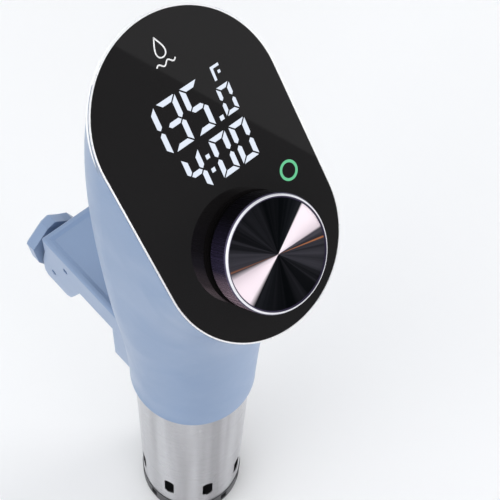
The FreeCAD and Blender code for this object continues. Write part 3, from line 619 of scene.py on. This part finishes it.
def make_touch_ring():
    """The lit ring of the touch key, a thin flat annulus with broken edges."""
    offset = middle_of("touch_ring_guide") - PANEL_CENTRE
    u, v = offset.dot(ACROSS) / MM, offset.dot(SLOPE) / MM
    profile = [(RING_OUTER, LIT_LOW), (RING_OUTER, RING_SHOULDER), (RING_OUTER - RING_BREAK, LIT_HIGH),
               (RING_INNER + RING_BREAK, LIT_HIGH), (RING_INNER, RING_SHOULDER), (RING_INNER, LIT_LOW)]
    ring = bmesh.new()
    loops = []
    for i in range(RING_STEPS):
        turn = 2 * math.pi * i / RING_STEPS
        loops.append([ring.verts.new(on_panel(u + r * math.cos(turn), v + r * math.sin(turn), height))
                      for r, height in profile])
    for here, there in zip(loops, loops[1:] + loops[:1]):
        for k in range(len(profile)):
            m = (k + 1) % len(profile)
            ring.faces.new((here[k], here[m], there[m], there[k]))
    green = glow("touch_green", (0.115, 0.575, 0.28))
    piece(from_bmesh("touch_ring", ring), green, "housing")


def stroke_sides(points, half):
    """The left and right sides of a line of even width through open points."""
    left, right = [], []
    for i, point in enumerate(points):
        before, after = points[max(i - 1, 0)], points[min(i + 1, len(points) - 1)]
        du, dv = after[0] - before[0], after[1] - before[1]
        length = math.hypot(du, dv)
        nu, nv = -dv / length * half, du / length * half
        left.append((point[0] + nu, point[1] + nv))
        right.append((point[0] - nu, point[1] - nv))
    return left, right


def add_stroke(bm, points, half, closed=False):
    """A thin raised line through panel points."""
    if closed:
        points = points + points[:2]
    left, right = stroke_sides(points, half)
    if closed:
        left, right = left[1:-1] + [left[1]], right[1:-1] + [right[1]]
    for i in range(len(left) - 1):
        add_plate(bm, [left[i], left[i + 1], right[i + 1], right[i]])


SYMBOL_AT = (0.5, 51.0)
SYMBOL_HALF_STROKE = 0.26
DROP_HALF_WIDTH, DROP_HALF_HEIGHT, DROP_RISE = 2.7, 3.6, 1.4
DROP_STEPS = 48
WAVE_LENGTH, WAVE_HEIGHT, WAVE_FALL = 8.0, 0.7, 4.4
WAVE_STEPS, WAVE_CRESTS = 40, 2


def make_symbol():
    """A water drop over a wave, printed at the panel's upper end."""
    printed = moulded("printed_white", (0.98, 0.98, 0.98), 0.4, wear=0.0)
    centre_u, centre_v = SYMBOL_AT
    drop = []
    for i in range(DROP_STEPS):
        turn = 2 * math.pi * i / DROP_STEPS
        pinch = math.sin(turn / 2) ** 1.5
        drop.append((centre_u + DROP_HALF_WIDTH * math.sin(turn) * pinch,
                     centre_v + DROP_RISE + DROP_HALF_HEIGHT * math.cos(turn)))
    wave = []
    for i in range(WAVE_STEPS + 1):
        along = i / WAVE_STEPS
        wave.append((centre_u + WAVE_LENGTH * (along - 0.5),
                     centre_v - WAVE_FALL + WAVE_HEIGHT * math.sin(2 * math.pi * WAVE_CRESTS * along)))
    bm = bmesh.new()
    add_stroke(bm, drop, SYMBOL_HALF_STROKE, closed=True)
    add_stroke(bm, wave, SYMBOL_HALF_STROKE)
    piece(from_bmesh("panel_symbol", bm), printed, "housing")


# ---------------------------------------------------------------- clamp screw and heater tube
def skin(bm, rings):
    """Quads between rings of vertices, with a flat end on the first and last."""
    for here, there in zip(rings, rings[1:]):
        count = len(here)
        for i in range(count):
            j = (i + 1) % count
            bm.faces.new((here[i], here[j], there[j], there[i]))
    bm.faces.new(rings[0])
    bm.faces.new(rings[-1])


THREAD_PITCH = 2.5 * MM
THREAD_MINOR_R = 4.2 * MM
THREAD_MAJOR_R = 5.0 * MM
FLANK_SLOPE = 2.6                    # how steeply the thread's flanks rise
ROOT_SHARE = 0.8                     # how much of the rise is cut off by the flat root
NECK_R = 2.6 * MM
BUTTON_R = 4.0 * MM
BUTTON_BREAK = 0.4 * MM
BUTTON_LENGTH = 1.4 * MM
NECK_LENGTH = 2.5 * MM
SCREW_COLUMNS = 48
ROWS_PER_PITCH = 12


def make_clamp_screw():
    """The clamp's screw with its right-hand thread, its neck and the button that carries the pad."""
    low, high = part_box("clamp_screw")
    axis = middle_of("threaded_insert")
    start = low.y + BUTTON_LENGTH + NECK_LENGTH

    def thread_radius(y, turn):
        place = (y / THREAD_PITCH - turn / (2 * math.pi)) % 1.0
        rise = min(1.0, max(0.0, FLANK_SLOPE * (1 - abs(2 * place - 1)) - ROOT_SHARE))
        return THREAD_MINOR_R + (THREAD_MAJOR_R - THREAD_MINOR_R) * rise

    turns = [2 * math.pi * i / SCREW_COLUMNS for i in range(SCREW_COLUMNS)]
    plain = [(low.y, BUTTON_R - BUTTON_BREAK), (low.y + BUTTON_BREAK, BUTTON_R),
             (low.y + BUTTON_LENGTH, BUTTON_R), (low.y + BUTTON_LENGTH, NECK_R), (start, NECK_R)]
    rows = [(y, [r] * SCREW_COLUMNS) for y, r in plain]
    count = int((high.y - start) / THREAD_PITCH * ROWS_PER_PITCH)
    for i in range(count + 1):
        y = start + (high.y - start) * i / count
        rows.append((y, [thread_radius(y, turn) for turn in turns]))
    bm = bmesh.new()
    skin(bm, [[bm.verts.new((axis.x + r * math.sin(turn), y, axis.z + r * math.cos(turn)))
               for r, turn in zip(radii, turns)] for y, radii in rows])
    screw = piece(from_bmesh("clamp_screw_threaded", bm, smooth=True), ZINC, "clamp_screw")
    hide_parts("clamp_screw")


COIL_TUBE_R = 2.8 * MM
COIL_SIDES = 14
COIL_HEIGHT = 40 * MM
COIL_PITCH = 20 * MM
STEPS_PER_TURN = 40
BEND_POINTS = 2                      # points left out of a strand where it bends into its neighbour
LEG_END, LEG_JOIN = 12 * MM, 3 * MM  # over the coil: where the straight leg ends, where it joins
LEG_LEAN = 2 * MM
HAIRPIN_REACH, HAIRPIN_BELLY = 5 * MM, 6 * MM


def swept_tube(name, path, radius, sides):
    """A round tube along a smooth path, its rings kept from twisting."""
    around = [2 * math.pi * k / sides for k in range(sides)]
    bm = bmesh.new()
    rings, side = [], None
    for i, point in enumerate(path):
        ahead = (path[min(i + 1, len(path) - 1)] - path[max(i - 1, 0)]).normalized()
        side = ahead.orthogonal() if side is None else side - ahead * side.dot(ahead)
        side.normalize()
        other = ahead.cross(side)
        rings.append([bm.verts.new(point + (side * math.cos(turn) + other * math.sin(turn)) * radius)
                      for turn in around])
    skin(bm, rings)
    return from_bmesh(name, bm, smooth=True)


def rounded(points, passes):
    """Corners cut again and again until the line is smooth; its ends stay."""
    for _ in range(passes):
        cut = [points[0]]
        for a, b in zip(points, points[1:]):
            cut += [a.lerp(b, 0.25), a.lerp(b, 0.75)]
        points = cut + [points[-1]]
    return points


def make_heater_coil():
    """One heater tube: down a leg and a coil, round a hairpin, and up between its turns to a leg."""
    low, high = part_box("heater_coil")
    coil_r = (high.x - low.x) / 2 - COIL_TUBE_R
    bottom = low.z + COIL_TUBE_R
    top = bottom + COIL_HEIGHT
    half_pitch = COIL_PITCH / 2

    def strand(phase, fall):
        """Points of one start of the coil, from its top down by so much."""
        count = round(fall / COIL_PITCH * STEPS_PER_TURN)
        points = []
        for i in range(count + 1):
            turn = phase + 2 * math.pi * i / STEPS_PER_TURN
            level = top - COIL_PITCH * i / STEPS_PER_TURN
            points.append(Vector((coil_r * math.cos(turn), coil_r * math.sin(turn), level)))
        return points

    leg = [Vector((coil_r, 0, high.z)), Vector((coil_r, 0, top + LEG_END)),
           Vector((coil_r, -LEG_LEAN, top + LEG_JOIN))]
    down = strand(0.0, COIL_HEIGHT - half_pitch)[BEND_POINTS:]
    hairpin = [Vector((-coil_r, -HAIRPIN_REACH, bottom + half_pitch)),
               Vector((-coil_r, -HAIRPIN_BELLY, bottom + half_pitch / 2)),
               Vector((-coil_r, -HAIRPIN_REACH, bottom))]
    up = strand(math.pi, COIL_HEIGHT)[BEND_POINTS:-BEND_POINTS][::-1]
    other_leg = [Vector((-point.x, -point.y, point.z)) for point in reversed(leg)]
    path = rounded(leg + down + hairpin + up + other_leg, passes=2)
    mesh = swept_tube("heater_coil_wound", path, COIL_TUBE_R, COIL_SIDES)
    coil = piece(mesh, DRAWN_STEEL, "housing")
    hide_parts("heater_coil")


make_display()
make_touch_ring()
make_symbol()
make_clamp_screw()
make_heater_coil()


# ---------------------------------------------------------------- floor, light and camera
FLOOR_HALF = 30.0


def make_floor():
    """A wide pale floor at the foot's level."""
    bm = bmesh.new()
    corners = [bm.verts.new((x * FLOOR_HALF, y * FLOOR_HALF, 0.0))
               for x, y in ((-1, -1), (1, -1), (1, 1), (-1, 1))]
    bm.faces.new(corners)
    recipe = Recipe("pale_floor")
    drift = recipe.noise(3.0, detail=2.0)
    base = recipe.blend(drift, rgba(0.93, 0.935, 0.94), rgba(0.96, 0.96, 0.96))
    recipe.set(Base_Color=base, Roughness=0.7)
    mesh = from_bmesh("floor", bm)
    mesh.materials.append(recipe.material)
    floor = bpy.data.objects.new("floor", mesh)
    bpy.context.scene.collection.objects.link(floor)


BRIGHT_SIDE = (-0.62, 0.76, 0.15)
SIDE_LEVELS = (-0.3, 0.6, 0.32, 1.0)     # from and to along the bright side, then the light there
HORIZON_LEVELS = (0.03, 0.12, 0.9, 0.0)  # from and to in height, then the least light there


def make_world():
    """A pale studio, brighter behind the object's left side than in front, and pale at the horizon."""
    world = bpy.data.worlds.new("studio")
    bpy.context.scene.world = world
    world.use_nodes = True
    tree = world.node_tree
    backdrop = tree.nodes["Background"]
    backdrop.inputs["Color"].default_value = rgba(0.95, 0.97, 1.0)
    direction = tree.nodes.new("ShaderNodeTexCoord").outputs["Generated"]

    def level(value, levels):
        made = tree.nodes.new("ShaderNodeMapRange")
        tree.links.new(value, made.inputs["Value"])
        for socket, number in zip(made.inputs[1:5], levels):
            socket.default_value = number
        return made.outputs["Result"]

    facing = tree.nodes.new("ShaderNodeVectorMath")
    facing.operation = "DOT_PRODUCT"
    facing.inputs[1].default_value = BRIGHT_SIDE
    tree.links.new(direction, facing.inputs[0])
    height = tree.nodes.new("ShaderNodeSeparateXYZ")
    tree.links.new(direction, height.inputs[0])
    brighter = tree.nodes.new("ShaderNodeMath")
    brighter.operation = "MAXIMUM"
    tree.links.new(level(facing.outputs["Value"], SIDE_LEVELS), brighter.inputs[0])
    tree.links.new(level(height.outputs["Z"], HORIZON_LEVELS), brighter.inputs[1])
    tree.links.new(brighter.outputs[0], backdrop.inputs["Strength"])


def card(name, corner, across, along, size, radiance, colour=(1.0, 1.0, 1.0)):
    """A flat soft light given by a corner and two of its edges. It shines to the side from
    which along turns anticlockwise into across. Radiance is what a mirror of it would show."""
    light = bpy.data.lights.new(name, "AREA")
    light.shape = "RECTANGLE"
    light.size, light.size_y = size
    light.energy = radiance * math.pi * math.pi * size[0] * size[1] / 4
    light.color = colour
    made = bpy.data.objects.new(name, light)
    along = Vector(along).normalized()
    across = Vector(across)
    across = (across - along * across.dot(along)).normalized()
    back = across.cross(along)
    middle = Vector(corner) + across * (size[0] / 2) + along * (size[1] / 2)
    turn = Matrix((across, along, back)).transposed().to_4x4()
    made.matrix_world = Matrix.Translation(middle) @ turn
    bpy.context.scene.collection.objects.link(made)


def far_light(name, towards, energy, spread):
    """A soft light far away in a direction, its disc so many degrees across."""
    sun = bpy.data.lights.new(name, "SUN")
    sun.angle = math.radians(spread)
    sun.energy = energy
    made = bpy.data.objects.new(name, sun)
    made.rotation_mode = "QUATERNION"
    made.rotation_quaternion = Vector(towards).to_track_quat("Z", "Y")
    bpy.context.scene.collection.objects.link(made)


def make_lights():
    """Soft light from overhead and both sides, a card that the panel mirrors, and a dial strip."""
    far_light("overhead", towards=(-0.1, 0.1, 1.0), energy=0.42, spread=60)
    far_light("key", towards=(-0.8, 0.1, 0.6), energy=0.38, spread=40)
    far_light("left_fill", towards=(-0.6, -0.75, 0.3), energy=0.5, spread=40)
    far_light("right_fill", towards=(0.87, -0.45, 0.2), energy=1.7, spread=30)
    card("right_card", corner=(0.458, -0.724, 0.476), across=(0.135, 0.034, -0.023),
         along=(-0.117, 0.082, 0.197), size=(0.9, 0.45), radiance=0.42)
    card("front_strip", corner=(-0.15, -0.72, 0.42), across=(1.0, 0.0, 0.0),
         along=(0.0, 0.1, 1.0), size=(0.26, 0.16), radiance=4.6, colour=(1.0, 0.9, 0.94))


CAMERA_AT = Vector((-0.1502, -0.1686, 0.6427))
CAMERA_AZIMUTH = math.radians(-47.4826)
CAMERA_ELEVATION = math.radians(59.1210)
CAMERA_ROLL = math.radians(5.7578)
CAMERA_LENS = 77.34
CAMERA_SENSOR = 36.0


def make_camera():
    """The main view, turned from straight back by azimuth, then up, then rolled."""
    camera = bpy.data.cameras.new("camera")
    camera.sensor_width = CAMERA_SENSOR
    camera.lens = CAMERA_LENS
    camera.clip_start = 10 * MM
    a, e, r = CAMERA_AZIMUTH, CAMERA_ELEVATION, CAMERA_ROLL
    back = Vector((math.sin(a) * math.cos(e), -math.cos(a) * math.cos(e), math.sin(e)))
    level = Vector((math.cos(a), math.sin(a), 0))
    upward = back.cross(level)
    right = level * math.cos(r) + upward * math.sin(r)
    up = upward * math.cos(r) - level * math.sin(r)
    made = bpy.data.objects.new("camera", camera)
    turn = Matrix((right, up, back)).transposed().to_4x4()
    made.matrix_world = Matrix.Translation(CAMERA_AT) @ turn
    bpy.context.scene.collection.objects.link(made)
    bpy.context.scene.camera = made


make_floor()
make_world()
make_lights()
make_camera()
bpy.context.scene.view_settings.view_transform = "Standard"
